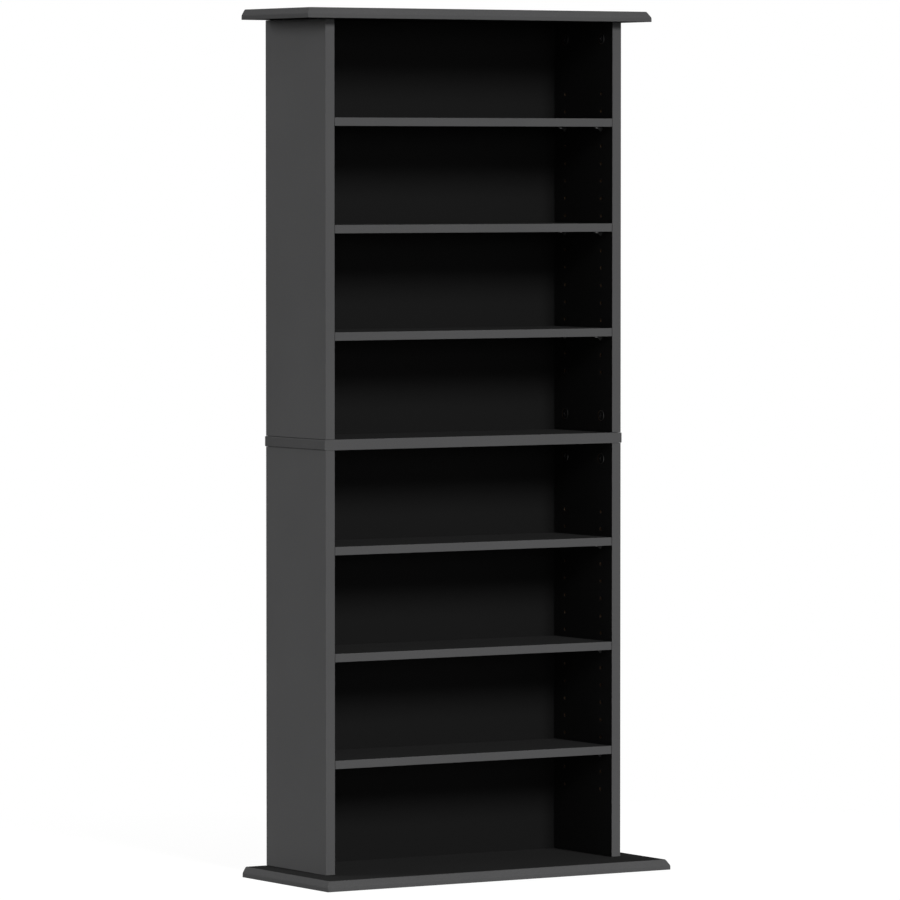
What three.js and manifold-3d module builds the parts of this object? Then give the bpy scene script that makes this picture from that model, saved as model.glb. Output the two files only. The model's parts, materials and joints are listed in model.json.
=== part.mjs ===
// CD and DVD storage tower: a knock-down board cabinet with six loose shelves on pins.
// Millimetres, +Z up, the front faces -Y, the origin is on the floor under the middle of the base.

import * as THREE from 'three';
import { mergeVertices } from 'three/addons/utils/BufferGeometryUtils.js';
import Module from 'manifold-3d';

const wasm = await Module();
wasm.setup();

// Carcass
const boardThickness = 15;
const carcassWidth = 502;
const carcassDepth = 167.5;
const lowerClearHeight = 606;
const upperClearHeight = 598;
const seatGap = 0.3;

// Top and base boards
const sideOverhang = 40;
const topFrontOverhang = 20;
const baseFrontOverhang = 72;
const bevelRun = 5.4;
const bevelRise = 8.8;
const bevelSoftening = 1.6;

// Middle board
const middleLip = 1.5;
const middleNose = 4;

// Back panels in their grooves
const backThickness = 3;
const backInset = 9;
const grooveDepth = 5;

// Shelves
const shelfThickness = 12;
const shelfEndGap = 0.5;
const shelfBackGap = 2.5;
const shelvesPerHalf = 3;
const lowerShelfLift = 10.7;

// Rows of holes for shelf pins: the same steps in both halves, the lower ones start higher
const frontRowInset = 30;
const rearRowInset = 27;
const pinHoleRadius = 2.5;
const pinHoleDepth = 10;
const holesPerShelf = 6;
const spareHoles = 2;

// Shelf pins
const pegLength = 9;
const shoulderRadius = 4;
const shoulderThickness = 1.4;
const tongueReach = 12;
const tongueWidth = 8;
const tongueThickness = 2;
const tongueRibWidth = 2;

// Cam discs
const camRadius = 7.5;
const camBackWall = 3;
const camSweep = THREE.MathUtils.degToRad(105);
const camSpiralRise = 1;
const crossLength = 7.5;
const crossWidth = 1.4;
const crossDepth = 2.2;

// Cam bolts
const boltReach = 24;
const boltShankRadius = 3;
const boltNeckRadius = 2;
const boltNeckLength = 8;
const boltHeadRadius = 3.3;
const boltTopWall = 4;

// Base screws
const screwLength = 50;
const screwHeadRadius = 5;
const screwHeadHeight = 1.2;
const screwConeHeight = 2;
const screwShoulderRadius = 3.5;
const screwThreadRadius = 2.6;
const screwTipHeight = 4;
const screwSink = 0.4;
const screwSocketRadius = 2.3;
const screwSocketDepth = 2.6;

// Facets and the overrun of every cut
const overrun = 2;
const holeSides = 8;
const discSides = 16;
const turnedSides = 8;
const curveSteps = 3;
const headSteps = 4;

// Sizes that follow from the ones above
const innerWidth = carcassWidth - 2 * boardThickness;
const baseDepth = carcassDepth + baseFrontOverhang;
const topDepth = carcassDepth + topFrontOverhang;
const crownWidth = carcassWidth + 2 * sideOverhang;
const rearY = baseDepth / 2;
const frontY = rearY - carcassDepth;
const sideX = (carcassWidth - boardThickness) / 2;
const lowerFloorZ = boardThickness;
const middleZ = lowerFloorZ + lowerClearHeight;
const upperFloorZ = middleZ + boardThickness;
const topZ = upperFloorZ + upperClearHeight;
const backY = rearY - backInset - backThickness / 2;
const grooveWidth = backThickness + 2 * seatGap;
const backWidth = innerWidth + 2 * (grooveDepth - seatGap);
const shelfDepth = carcassDepth - backInset - backThickness - shelfBackGap;
const rowYs = [frontY + frontRowInset, frontY + shelfDepth - rearRowInset];
const pegRadius = pinHoleRadius - seatGap;
const shelfPitch = (upperClearHeight + shelfThickness) / (shelvesPerHalf + 1);
const pinHolePitch = shelfPitch / holesPerShelf;
const firstPinZ = shelfPitch - shelfThickness - seatGap - pegRadius;
const camLength = boardThickness - camBackWall;
const camBoreRadius = camRadius + seatGap;
const camBoreDepth = camLength + seatGap;
const boltHoleRadius = boltHeadRadius + seatGap;

// Finishes
const boardFinish = { color: 0x4f4f4f, roughness: 0.55, metalness: 0 };
const backFinish = { color: 0x1c1c1c, roughness: 0.8, metalness: 0 };
const pinFinish = { color: 0x595959, roughness: 0.35, metalness: 1 };
const camFinish = { color: 0x616161, roughness: 0.5, metalness: 1 };
const steelFinish = { color: 0x9a9a96, roughness: 0.4, metalness: 1 };

const axisX = new THREE.Vector3(1, 0, 0);
const axisY = new THREE.Vector3(0, 1, 0);
const axisZ = new THREE.Vector3(0, 0, 1);

// Joins and cuts

function solidOf(geometry) {
  geometry.deleteAttribute('normal');
  geometry.deleteAttribute('uv');
  const merged = mergeVertices(geometry);
  const corners = merged.index.array;
  const triangles = [];
  for (let start = 0; start < corners.length; start += 3) {
    const [a, b, c] = corners.slice(start, start + 3);
    if (a !== b && b !== c && c !== a) triangles.push(a, b, c);
  }
  const vertProperties = merged.getAttribute('position').array;
  const triVerts = new Uint32Array(triangles);
  return new wasm.Manifold(new wasm.Mesh({ numProp: 3, vertProperties, triVerts }));
}

function geometryOf(solid) {
  const { vertProperties, triVerts } = solid.getMesh();
  const geometry = new THREE.BufferGeometry();
  geometry.setAttribute('position', new THREE.BufferAttribute(vertProperties, 3));
  geometry.setIndex(new THREE.BufferAttribute(triVerts, 1));
  const flat = geometry.toNonIndexed();
  flat.computeVertexNormals();
  return flat;
}

function joined(solids) {
  return solids.reduce((whole, solid) => whole.add(solid));
}

function cut(blank, cutters) {
  return cutters.reduce((rest, cutter) => rest.subtract(cutter), blank);
}

// Simple forms, each with its place

function block(width, depth, height, x, y, z) {
  return solidOf(new THREE.BoxGeometry(width, depth, height).translate(x, y, z));
}

function rodAlongX(radius, length, sides, x, y, z) {
  const rod = new THREE.CylinderGeometry(radius, radius, length, sides).rotateZ(-Math.PI / 2);
  return solidOf(rod.translate(x, y, z));
}

function rodAlongZ(radius, length, sides, x, y, z) {
  const rod = new THREE.CylinderGeometry(radius, radius, length, sides).rotateX(Math.PI / 2);
  return solidOf(rod.translate(x, y, z));
}

// A turned piece from its profile of [radius, height] points, standing on its first point
function turned(profile, sides, x, y, z) {
  const points = profile.map(([radius, height]) => new THREE.Vector2(radius, height));
  const lathe = new THREE.LatheGeometry(points, sides).rotateX(Math.PI / 2);
  return solidOf(lathe.translate(x, y, z));
}

// An outline through corners of [x, y, softening], each softened by a curve
function outlineOf(corners) {
  const points = corners.map(([x, y]) => new THREE.Vector2(x, y));
  const shape = new THREE.Shape();
  const stepTowards = (from, to, length) =>
    to.clone().sub(from).setLength(length).add(from);
  corners.forEach(([x, y, softening], index) => {
    const corner = points[index];
    const enter = stepTowards(corner, points.at(index - 1), softening);
    const leave = stepTowards(corner, points[(index + 1) % points.length], softening);
    if (index === 0) shape.moveTo(enter.x, enter.y);
    else shape.lineTo(enter.x, enter.y);
    if (softening > 0) shape.quadraticCurveTo(x, y, leave.x, leave.y);
  });
  shape.closePath();
  return shape;
}

function extruded(shape, depth, right, up, forward) {
  const options = { depth, bevelEnabled: false, curveSegments: curveSteps };
  const geometry = new THREE.ExtrudeGeometry(shape, options);
  return geometry.applyMatrix4(new THREE.Matrix4().makeBasis(right, up, forward));
}

// Outline in Y and Z pushed along X, centred on X
function pushedAlongX(shape, length, y, z) {
  const geometry = extruded(shape, length, axisY, axisZ, axisX);
  return solidOf(geometry.translate(-length / 2, y, z));
}

// Outline in X and Z pushed along Y, from frontEdge back
function pushedAlongY(shape, length, frontEdge, z) {
  const geometry = extruded(shape, length, axisX, axisZ, axisY.clone().negate());
  return solidOf(geometry.translate(0, frontEdge + length, z));
}

// A blind hole into the face at z of a board, upwards where side is 1 and downwards where it is -1
function boreAlongZ(radius, depth, side, x, y, z) {
  const length = depth + overrun;
  const middle = z + side * (depth - overrun) / 2;
  return rodAlongZ(radius, length, turnedSides, x, y, middle);
}

// Places of what holds the sides: one at each corner of the carcass
function forEachCorner(make) {
  return [-1, 1].flatMap((side) => rowYs.map((y, row) => make(side * sideX, y, side, row)));
}

function cornerName(side, row) {
  return `${row === 0 ? 'front' : 'rear'}_${side < 0 ? 'left' : 'right'}`;
}

// Top and base boards: two bevelled sections crossed, so that the bevels meet in a mitre

function bevelledBoard(width, depth, frontEdge) {
  const upper = boardThickness;
  const bevelFoot = boardThickness - bevelRise;
  const half = width / 2;
  const sideSection = outlineOf([
    [-half, 0, 0],
    [half, 0, 0],
    [half, bevelFoot, bevelSoftening],
    [half - bevelRun, upper, bevelSoftening],
    [bevelRun - half, upper, bevelSoftening],
    [-half, bevelFoot, bevelSoftening],
  ]);
  const frontSection = outlineOf([
    [0, 0, 0],
    [depth, 0, 0],
    [depth, upper, 0],
    [bevelRun, upper, bevelSoftening],
    [0, bevelFoot, bevelSoftening],
  ]);
  const across = pushedAlongX(frontSection, width, frontEdge, 0);
  return across.intersect(pushedAlongY(sideSection, depth, frontEdge, 0));
}

// The stopped groove that takes the edge of a back panel, in the face of a board at z
function backGroove(side, z) {
  const height = grooveDepth + overrun;
  const middle = z + side * (grooveDepth - overrun) / 2;
  return block(backWidth + 2 * seatGap, grooveWidth, height, 0, backY, middle);
}

// Half of a cam bolt as [radius, height] points: a shank, a thinner neck and a round head
function boltEnd() {
  const neckStart = boltReach - boltNeckLength;
  const profile = [
    [boltShankRadius, neckStart],
    [boltNeckRadius, neckStart],
    [boltNeckRadius, boltReach - boltHeadRadius],
  ];
  for (let step = 1; step < headSteps; step += 1) {
    const angle = Math.PI * step / headSteps;
    profile.push([boltHeadRadius * Math.sin(angle), boltReach - boltHeadRadius * Math.cos(angle)]);
  }
  profile.push([0, boltReach + boltHeadRadius]);
  return profile;
}

function topBoard() {
  const board = bevelledBoard(crownWidth, topDepth, frontY - topFrontOverhang);
  const grooved = cut(board, [backGroove(1, 0)]);
  const downwards = boltEnd().map(([radius, height]) => [radius, -height]).reverse();
  const boltTop = boardThickness - boltTopWall;
  const profile = [...downwards, [boltShankRadius, boltTop], [0, boltTop]];
  const bolts = forEachCorner((x, y) => turned(profile, turnedSides, x, y, 0));
  return joined([grooved, ...bolts]);
}

function baseBoard() {
  const board = bevelledBoard(crownWidth, baseDepth, frontY - baseFrontOverhang);
  const holes = forEachCorner((x, y) => turned(screwHoleProfile(), turnedSides, x, y, -overrun));
  return cut(board, [backGroove(-1, boardThickness), ...holes]);
}

function middleBoard() {
  const half = carcassWidth / 2 + middleLip;
  const section = outlineOf([
    [-half, 0, middleNose],
    [half, 0, middleNose],
    [half, boardThickness, middleNose],
    [-half, boardThickness, middleNose],
  ]);
  const board = pushedAlongY(section, carcassDepth, frontY, 0);
  const holeRadius = boltShankRadius + seatGap;
  const holeLength = boardThickness + 2 * overrun;
  const holes = forEachCorner((x, y) =>
    rodAlongZ(holeRadius, holeLength, turnedSides, x, y, boardThickness / 2));
  return cut(board, [backGroove(1, 0), backGroove(-1, boardThickness), ...holes]);
}

// Side panels: side is -1 on the left and 1 on the right

function pinHoleHeights(lift) {
  const heights = [];
  const lastHole = holesPerShelf * (shelvesPerHalf - 1) + spareHoles;
  for (let hole = -spareHoles; hole <= lastHole; hole += 1) {
    heights.push(firstPinZ + lift + hole * pinHolePitch);
  }
  return heights;
}

function sidePanel(side, clearHeight, lift, endCutters) {
  const height = clearHeight - 2 * seatGap;
  const middleY = frontY + carcassDepth / 2;
  const blank = block(boardThickness, carcassDepth, height, 0, middleY, clearHeight / 2);
  const innerX = -side * boardThickness / 2;
  const grooveX = innerX + side * (grooveDepth - overrun) / 2;
  const grooveLength = height + 2 * overrun;
  const groove = block(grooveDepth + overrun, grooveWidth, grooveLength, grooveX, backY, clearHeight / 2);
  const pinHoleX = innerX + side * (pinHoleDepth - overrun) / 2;
  const pinHoles = pinHoleHeights(lift).flatMap((z) => rowYs.map((y) =>
    rodAlongX(pinHoleRadius, pinHoleDepth + overrun, holeSides, pinHoleX, y, z)));
  return cut(blank, [groove, ...pinHoles, ...endCutters]);
}

// The bore for a cam disc in the inner face, and the bolt hole that reaches it from the panel's end
function camCutters(side, clearHeight, atTop) {
  const innerX = -side * boardThickness / 2;
  const boreX = innerX + side * (camBoreDepth - overrun) / 2;
  const end = atTop ? clearHeight : 0;
  const inward = atTop ? -1 : 1;
  const camZ = end + inward * boltReach;
  return rowYs.flatMap((y) => [
    rodAlongX(camBoreRadius, camBoreDepth + overrun, discSides, boreX, y, camZ),
    boreAlongZ(boltHoleRadius, boltReach, inward, 0, y, end),
  ]);
}

function upperSide(side) {
  const cutters = [
    ...camCutters(side, upperClearHeight, true),
    ...camCutters(side, upperClearHeight, false),
  ];
  return sidePanel(side, upperClearHeight, 0, cutters);
}

function lowerSide(side) {
  const screwBore = screwThreadRadius + seatGap;
  const screwBoreDepth = screwLength + screwSink + seatGap - boardThickness;
  const cutters = [
    ...camCutters(side, lowerClearHeight, true),
    ...rowYs.map((y) => boreAlongZ(screwBore, screwBoreDepth, 1, 0, y, 0)),
  ];
  return sidePanel(side, lowerClearHeight, lowerShelfLift, cutters);
}

// Back panel: hardboard held in grooves on all four edges
function backPanel(clearHeight) {
  const height = clearHeight + 2 * (grooveDepth - seatGap);
  return block(backWidth, backThickness, height, 0, 0, clearHeight / 2);
}

function shelf() {
  const width = innerWidth - 2 * shelfEndGap;
  return block(width, shelfDepth, shelfThickness, 0, shelfDepth / 2, shelfThickness / 2);
}

// Shelf pin: the peg points along +X from the panel's face, the tongue lies under the shelf
function shelfPin() {
  const peg = rodAlongX(pegRadius, pegLength + seatGap, holeSides, (pegLength - seatGap) / 2, 0, 0);
  const shoulderX = -seatGap - shoulderThickness / 2;
  const disc = rodAlongX(shoulderRadius, shoulderThickness, turnedSides, shoulderX, 0, 0);
  const keptHeight = pegRadius + shoulderRadius + overrun;
  const keptZ = pegRadius - keptHeight / 2;
  const kept = block(tongueReach, 2 * shoulderRadius, keptHeight, -tongueReach / 2, 0, keptZ);
  const halfWidth = tongueWidth / 2;
  const plate = outlineOf([
    [-seatGap, -halfWidth, 0],
    [-seatGap, halfWidth, 0],
    [-tongueReach, halfWidth, halfWidth],
    [-tongueReach, -halfWidth, halfWidth],
  ]);
  const tongueGeometry = extruded(plate, tongueThickness, axisX, axisY, axisZ);
  const tongue = solidOf(tongueGeometry.translate(0, 0, pegRadius - tongueThickness));
  const ribOutline = outlineOf([
    [-seatGap, -shoulderRadius, 0],
    [-seatGap, pegRadius, 0],
    [halfWidth - tongueReach, pegRadius, 0],
    [halfWidth - tongueReach, pegRadius - tongueThickness, 0],
    [-seatGap - shoulderThickness, -shoulderRadius, 0],
  ]);
  const rib = pushedAlongY(ribOutline, tongueRibWidth, -tongueRibWidth / 2, 0);
  return joined([peg, disc.intersect(kept), tongue, rib]);
}

// Cam disc: its axis is X, its driven face is at x = 0, and it holds the bolt head that comes from +Z.
// Turning it walks the spiral wall under the head, from the wide mouth to the narrow slot.
function camDisc() {
  const axisDepth = boardThickness / 2;
  const headRoom = boltHeadRadius + seatGap;
  const neckRoom = boltNeckRadius + seatGap;
  const rim = camRadius + overrun;
  const lockAngle = Math.PI / 2;
  const body = rodAlongX(camRadius, camLength, discSides, camLength / 2, 0, 0);
  const spiral = new THREE.Shape();
  for (let step = 0; step < discSides; step += 1) {
    const turn = 2 * Math.PI * step / discSides;
    const progress = turn <= camSweep ? turn / camSweep : 0;
    const radius = headRoom + camSpiralRise * progress;
    const angle = lockAngle + turn;
    if (step === 0) spiral.moveTo(radius * Math.cos(angle), radius * Math.sin(angle));
    else spiral.lineTo(radius * Math.cos(angle), radius * Math.sin(angle));
  }
  spiral.closePath();
  const sector = new THREE.Shape();
  sector.moveTo(0, 0);
  sector.absarc(0, 0, rim, lockAngle, lockAngle + camSweep);
  sector.closePath();
  const pushedIn = (shape, room) => {
    const geometry = extruded(shape, 2 * room, axisY, axisZ, axisX);
    return solidOf(geometry.translate(axisDepth - room, 0, 0));
  };
  const slot = block(2 * neckRoom, 2 * neckRoom, rim, axisDepth, 0, rim / 2);
  const mouthShape = new THREE.BoxGeometry(2 * headRoom, 2 * headRoom, rim);
  mouthShape.translate(axisDepth, 0, rim / 2).rotateX(camSweep);
  const crosses = [0, Math.PI / 2].map((angle) => {
    const bar = new THREE.BoxGeometry(2 * crossDepth, crossWidth, crossLength);
    return solidOf(bar.rotateX(angle));
  });
  const hollow = joined([
    pushedIn(spiral, headRoom),
    pushedIn(sector, neckRoom),
    slot,
    solidOf(mouthShape),
  ]);
  return cut(body, [hollow, ...crosses]);
}

// Double-ended bolt: it passes through the middle board and reaches a cam above and below
function middleBolt() {
  const upwards = boltEnd().map(([radius, height]) => [radius, height + boardThickness]);
  const downwards = boltEnd().map(([radius, height]) => [radius, -height]).reverse();
  return turned([...downwards, ...upwards], turnedSides, 0, 0, 0);
}

// Base screw: a countersunk head with a hexagon socket, a plain shoulder and a thinner threaded part
function baseScrew() {
  const headTop = screwSink + screwHeadHeight;
  const shoulderStart = headTop + screwConeHeight;
  const tip = screwSink + screwLength;
  const profile = [
    [0, screwSink],
    [screwHeadRadius, screwSink],
    [screwHeadRadius, headTop],
    [screwShoulderRadius, shoulderStart],
    [screwShoulderRadius, boardThickness - seatGap],
    [screwThreadRadius, boardThickness - seatGap],
    [screwThreadRadius, tip - screwTipHeight],
    [0, tip],
  ];
  const screw = turned(profile, turnedSides, 0, 0, 0);
  const socketSides = 6;
  const socketHeight = screwSocketDepth + overrun;
  const socketZ = screwSink + (screwSocketDepth - overrun) / 2;
  return cut(screw, [rodAlongZ(screwSocketRadius, socketHeight, socketSides, 0, 0, socketZ)]);
}

// The countersunk hole for a base screw, from below the base board to above it
function screwHoleProfile() {
  const headTop = overrun + screwSink + screwHeadHeight + seatGap;
  const shoulderStart = headTop + screwConeHeight;
  const end = boardThickness + 2 * overrun;
  return [
    [0, 0],
    [screwHeadRadius + seatGap, 0],
    [screwHeadRadius + seatGap, headTop],
    [screwShoulderRadius + seatGap, shoulderStart],
    [screwShoulderRadius + seatGap, end],
    [0, end],
  ];
}

// Assembly

const tower = new THREE.Group();

function place(group, name, solid, finish, x, y, z) {
  const mesh = new THREE.Mesh(geometryOf(solid), new THREE.MeshStandardMaterial(finish));
  mesh.name = name;
  mesh.position.set(x, y, z);
  group.add(mesh);
  return mesh;
}

place(tower, 'base_board', baseBoard(), boardFinish, 0, 0, 0);
place(tower, 'middle_board', middleBoard(), boardFinish, 0, 0, middleZ);
place(tower, 'top_board', topBoard(), boardFinish, 0, 0, topZ);

forEachCorner((x, y, side, row) =>
  place(tower, `base_screw_${cornerName(side, row)}`, baseScrew(), steelFinish, x, y, 0));
forEachCorner((x, y, side, row) =>
  place(tower, `middle_bolt_${cornerName(side, row)}`, middleBolt(), steelFinish, x, y, middleZ));

function placeCams(label, camZ, boltFromAbove) {
  forEachCorner((x, y, side, row) => {
    const faceX = x - side * boardThickness / 2;
    const cam = place(tower, `${label}_${cornerName(side, row)}`, camDisc(), camFinish, faceX, y, camZ);
    cam.rotation.set(boltFromAbove ? 0 : Math.PI, 0, side < 0 ? Math.PI : 0);
  });
}

placeCams('top_cam', topZ - boltReach, true);
placeCams('middle_cam_above', upperFloorZ + boltReach, false);
placeCams('middle_cam_below', middleZ - boltReach, true);

// A half of the carcass: two sides, a back panel, and three shelves, each on four pins
function placeHalf(label, floorZ, clearHeight, lift, sideSolid) {
  const half = new THREE.Group();
  half.position.z = floorZ;
  tower.add(half);
  place(half, `${label}_left_side`, sideSolid(-1), boardFinish, -sideX, 0, 0);
  place(half, `${label}_right_side`, sideSolid(1), boardFinish, sideX, 0, 0);
  place(half, `${label}_back_panel`, backPanel(clearHeight), backFinish, 0, backY, 0);
  for (let number = 1; number <= shelvesPerHalf; number += 1) {
    const pinZ = firstPinZ + lift + shelfPitch * (number - 1);
    const shelfName = `${label}_shelf_${number}`;
    place(half, shelfName, shelf(), boardFinish, 0, frontY, pinZ + pegRadius + seatGap);
    forEachCorner((x, y, side, row) => {
      const faceX = x - side * boardThickness / 2;
      const name = `${shelfName}_pin_${cornerName(side, row)}`;
      const pin = place(half, name, shelfPin(), pinFinish, faceX, y, pinZ);
      pin.rotation.z = side < 0 ? Math.PI : 0;
    });
  }
}

placeHalf('upper', upperFloorZ, upperClearHeight, 0, upperSide);
placeHalf('lower', lowerFloorZ, lowerClearHeight, lowerShelfLift, lowerSide);

export default tower;
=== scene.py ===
# CD and DVD storage tower: the finishes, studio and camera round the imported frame.
# Metres, +Z up, the open front faces -Y, the floor is at zero.
import json
import math

import bmesh
import bpy
from mathutils import Matrix, Vector

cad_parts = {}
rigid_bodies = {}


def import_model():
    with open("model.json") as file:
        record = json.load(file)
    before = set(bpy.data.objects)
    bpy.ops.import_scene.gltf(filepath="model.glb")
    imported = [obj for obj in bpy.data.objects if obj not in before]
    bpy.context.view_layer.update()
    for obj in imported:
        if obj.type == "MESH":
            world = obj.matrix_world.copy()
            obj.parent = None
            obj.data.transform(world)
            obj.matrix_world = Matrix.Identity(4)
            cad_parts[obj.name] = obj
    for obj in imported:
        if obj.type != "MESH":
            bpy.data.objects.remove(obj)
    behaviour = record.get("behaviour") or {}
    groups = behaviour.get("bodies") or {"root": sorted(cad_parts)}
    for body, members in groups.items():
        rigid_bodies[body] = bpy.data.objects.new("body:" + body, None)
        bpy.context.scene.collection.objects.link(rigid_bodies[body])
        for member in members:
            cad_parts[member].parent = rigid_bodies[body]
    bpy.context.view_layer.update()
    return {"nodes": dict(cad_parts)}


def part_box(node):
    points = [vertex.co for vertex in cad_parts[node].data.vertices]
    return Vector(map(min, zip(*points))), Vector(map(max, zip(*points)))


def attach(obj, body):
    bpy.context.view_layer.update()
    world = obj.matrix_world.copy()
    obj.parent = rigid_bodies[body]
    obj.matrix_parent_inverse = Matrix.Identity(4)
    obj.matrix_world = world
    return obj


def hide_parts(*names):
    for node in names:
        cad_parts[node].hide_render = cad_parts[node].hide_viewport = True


for leftover in list(bpy.data.objects):
    bpy.data.objects.remove(leftover)

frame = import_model()
nodes = frame["nodes"]

# Camera, fitted to the edges of the boards
CAMERA_PLACE = (-5.1754, -8.2541, 1.0305)
CAMERA_PITCH = math.radians(90 - 2.446)
CAMERA_TURN = math.radians(-32.023)
CAMERA_LENS = 269.786
CAMERA_SENSOR = 36.0

# Lamps: the way each one comes from, in degrees round from the front and above the floor,
# its share of a plain white light, and how wide it looks
LAMPS = {
    "front_lamp": (0.0, 27.0, 0.88, 16.0),
    "low_front_lamp": (0.0, 2.0, 0.20, 20.0),
    "left_lamp": (-120.0, 15.0, 0.60, 32.0),
    "rear_lamp": (180.0, 8.0, 0.50, 30.0),
    "right_lamp": (105.0, 3.0, 0.60, 20.0),
}
LAMP_DISTANCE = 3.0
AMBIENT = 0.12

# Floor
FLOOR_REACH = 40.0
FLOOR_GLOW = 0.92
FLOOR_SHADE = 0.16
FLOOR_BOUNCE = 0.06
SHADOW_NEAR = 0.45
SHADOW_FAR = 1.1

# Colours, in linear light
GREY_FOIL = (0.078, 0.078, 0.079)
# Very dark broad faces of the foil, inside the sides and on the level boards: painted shade
PAINTED_SHADE_FOIL = (0.026, 0.026, 0.026)
# Lighter edges of the foil: partly wear, partly painted highlight
FOIL_WEAR_AND_HIGHLIGHT = (0.16, 0.16, 0.16)
# Coat of the back panel: dark paint, made darker still as painted shade for the inside
BLACK_COAT_AND_SHADE = (0.008, 0.008, 0.008)
HARDBOARD = (0.15, 0.088, 0.05)
HARDBOARD_DARK = (0.085, 0.048, 0.027)
# Chips of raw board, darkened as painted shade for the bored holes
SHADED_CHIPS_LIGHT = (0.2, 0.14, 0.09)
SHADED_CHIPS_DARK = (0.07, 0.045, 0.03)
PIN_METAL = (0.1, 0.1, 0.1)
CAM_METAL = (0.12, 0.12, 0.12)
# Very dark flat faces of the cam disc: painted shade
CAM_SHADE_FACE = (0.03, 0.03, 0.03)
STEEL = (0.46, 0.46, 0.44)
WHITE = (1.0, 1.0, 1.0)

# Finishes: noises are (scale, detail, roughness), ranges run from their first value to the second,
# depths and widths are in metres
NOISE_RANGE = (0.3, 0.7)
SQUARE_ON = 0.9

# Foil: its gloss, its shades, the wear and painted highlight on its edges, its roughness, and the depth of
# its grain
SIDE_GLOSS = 0.01
LEVEL_GLOSS = 0.0
FOIL_CLOUDS = (6.0, 3.0)
CLOUD_SHADES = (0.97, 1.03)
FOIL_FLECKS = (900.0, 1.0)
FLECK_SHADES = (0.9, 1.1)
# Lighter edges: partly wear, partly painted highlight
WEAR_AND_HIGHLIGHT_WIDTH = 0.0009
WEAR_AND_HIGHLIGHT_SAMPLES = 4
WEAR_AND_HIGHLIGHT_TURN = (0.99, 0.85)
WEAR_AND_HIGHLIGHT_PATCHES = (45.0, 2.0)
WEAR_AND_HIGHLIGHT_PATCH_RANGE = (0.4, 0.7)
WEAR_AND_HIGHLIGHT_SHARES = (0.05, 0.5)
SATIN_PATCHES = (14.0, 4.0)
SATIN_ROUGHNESS = (0.5, 0.6)
PAINTED_SHADE_ROUGHER = 0.35
BAND_DEPTH = 0.000008
FACE_DEPTH = 0.00002

# Hardboard: the coat in front, which faces -Y by more than COAT_FACING, very dark partly as paint and partly
# as painted shade, and the raw board behind
COAT_GLOSS = 0.02
COAT_ROUGHNESS = 0.6
COAT_FACING = -0.5
RAW_ROUGHNESS = 0.9
FIBRES = (480.0, 6.0, 0.75, (1.0, 1.0, 0.5))
FIBRE_SHARE = 0.7
FIBRE_HEIGHT = 0.4
HARDBOARD_CLOUDS = (9.0, 3.0)
CLOUD_SHARE = 0.3
MESH_PITCH = 0.0022
MESH_SHADES = (0.7, 1.0)
MESH_DEPTH = 0.00012

# Metals, and the chips of raw particle board
METAL_SPOTS = (700.0, 3.0)
METAL_SWING = (-0.05, 0.08)
PLATED_ROUGHNESS = 0.35
CAST_ROUGHNESS = 0.5
CHIPS = (420.0, 3.0, 0.7)
CHIP_RANGE = (0.35, 0.65)
CHIP_GLOSS = 0.1
CHIP_ROUGHNESS = 0.95
CHIP_DEPTH = 0.0001

# Fittings, in millimetres as in the CAD source
MM = 0.001
BOARD = 15.0
SEAT_GAP = 0.3
SHELF_PITCH = 152.5
HOLES_IN_PITCH = 6
HOLE_STEP = SHELF_PITCH / HOLES_IN_PITCH
SPARE_HOLES = 2
HOLES_IN_ROW = 17
SHELVES = (1, 2, 3)

# Bores just wider and deeper than the CAD ones, so that no facet of those is left
PIN_HOLE_RADIUS = 2.53
PIN_HOLE_DEPTH = 10.1
DRILL_POINT = 0.7
CAM_BORE_RADIUS = 7.84
CAM_BORE_DEPTH = 12.35

# Shelf pin: profiles are (radius, height) points and outlines are (x, y) points
PEG_RADIUS = 2.2
PEG_PROFILE = [(0.0, -0.35), (PEG_RADIUS, -0.35), (PEG_RADIUS, 8.1), (1.9, 8.6), (1.2, 9.0),
               (0.0, 9.0)]
SHOULDER_RADIUS = 4.0
SHOULDER_TOP = 2.05
SHOULDER_ENDS = (-1.7, -0.3)
TONGUE_START = -0.4
TONGUE_END = -12.0
TONGUE_HALF_WIDTH = 3.8
TONGUE_THICKNESS = 2.0
RIB_OUTLINE = [(-0.4, -3.8), (-0.4, 1.0), (-8.0, 1.0), (-8.0, 0.1), (-6.2, -0.3), (-4.6, -1.0), (-3.3, -2.0),
               (-2.4, -3.0), (-1.9, -3.8)]
RIB_HALF_WIDTH = 1.0

# Cam disc
CAM_PROFILE = [(0.0, 0.0), (7.1, 0.0), (7.5, 0.4), (7.5, 11.7), (7.2, 12.0), (0.0, 12.0)]
CAM_SWEEP = math.radians(105.0)
SPIRAL_RISE = 1.0
HEAD_ROOM = 3.6
NECK_ROOM = 2.3
PAST_RIM = 9.5
CROSS_LENGTH = 7.5
CROSS_WIDTH = 1.4
CROSS_DEPTH = 2.2
CROSS_HOLLOW = [(0.0, -1.0), (2.0, -1.0), (1.2, 2.6), (0.0, 2.6)]
CAM_ARROW = [(-1.0, 4.6), (1.0, 4.6), (0.0, 6.2)]
ARROW_DEPTH = 0.5

# Cam bolt, from the face of the board that it stands on
BOLT_REACH = 24.0
BALL_RADIUS = 3.3
NECK_RADIUS = 2.0
SHANK_RADIUS = 3.0
WAIST_RADIUS = 2.6
BOLT_NECK = [(NECK_RADIUS, 20.9), (NECK_RADIUS, 16.4), (2.6, 16.0), (SHANK_RADIUS, 15.6)]
BOLT_WAIST = [(SHANK_RADIUS, -6.6), (WAIST_RADIUS, -6.9), (WAIST_RADIUS, -7.5)]

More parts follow.
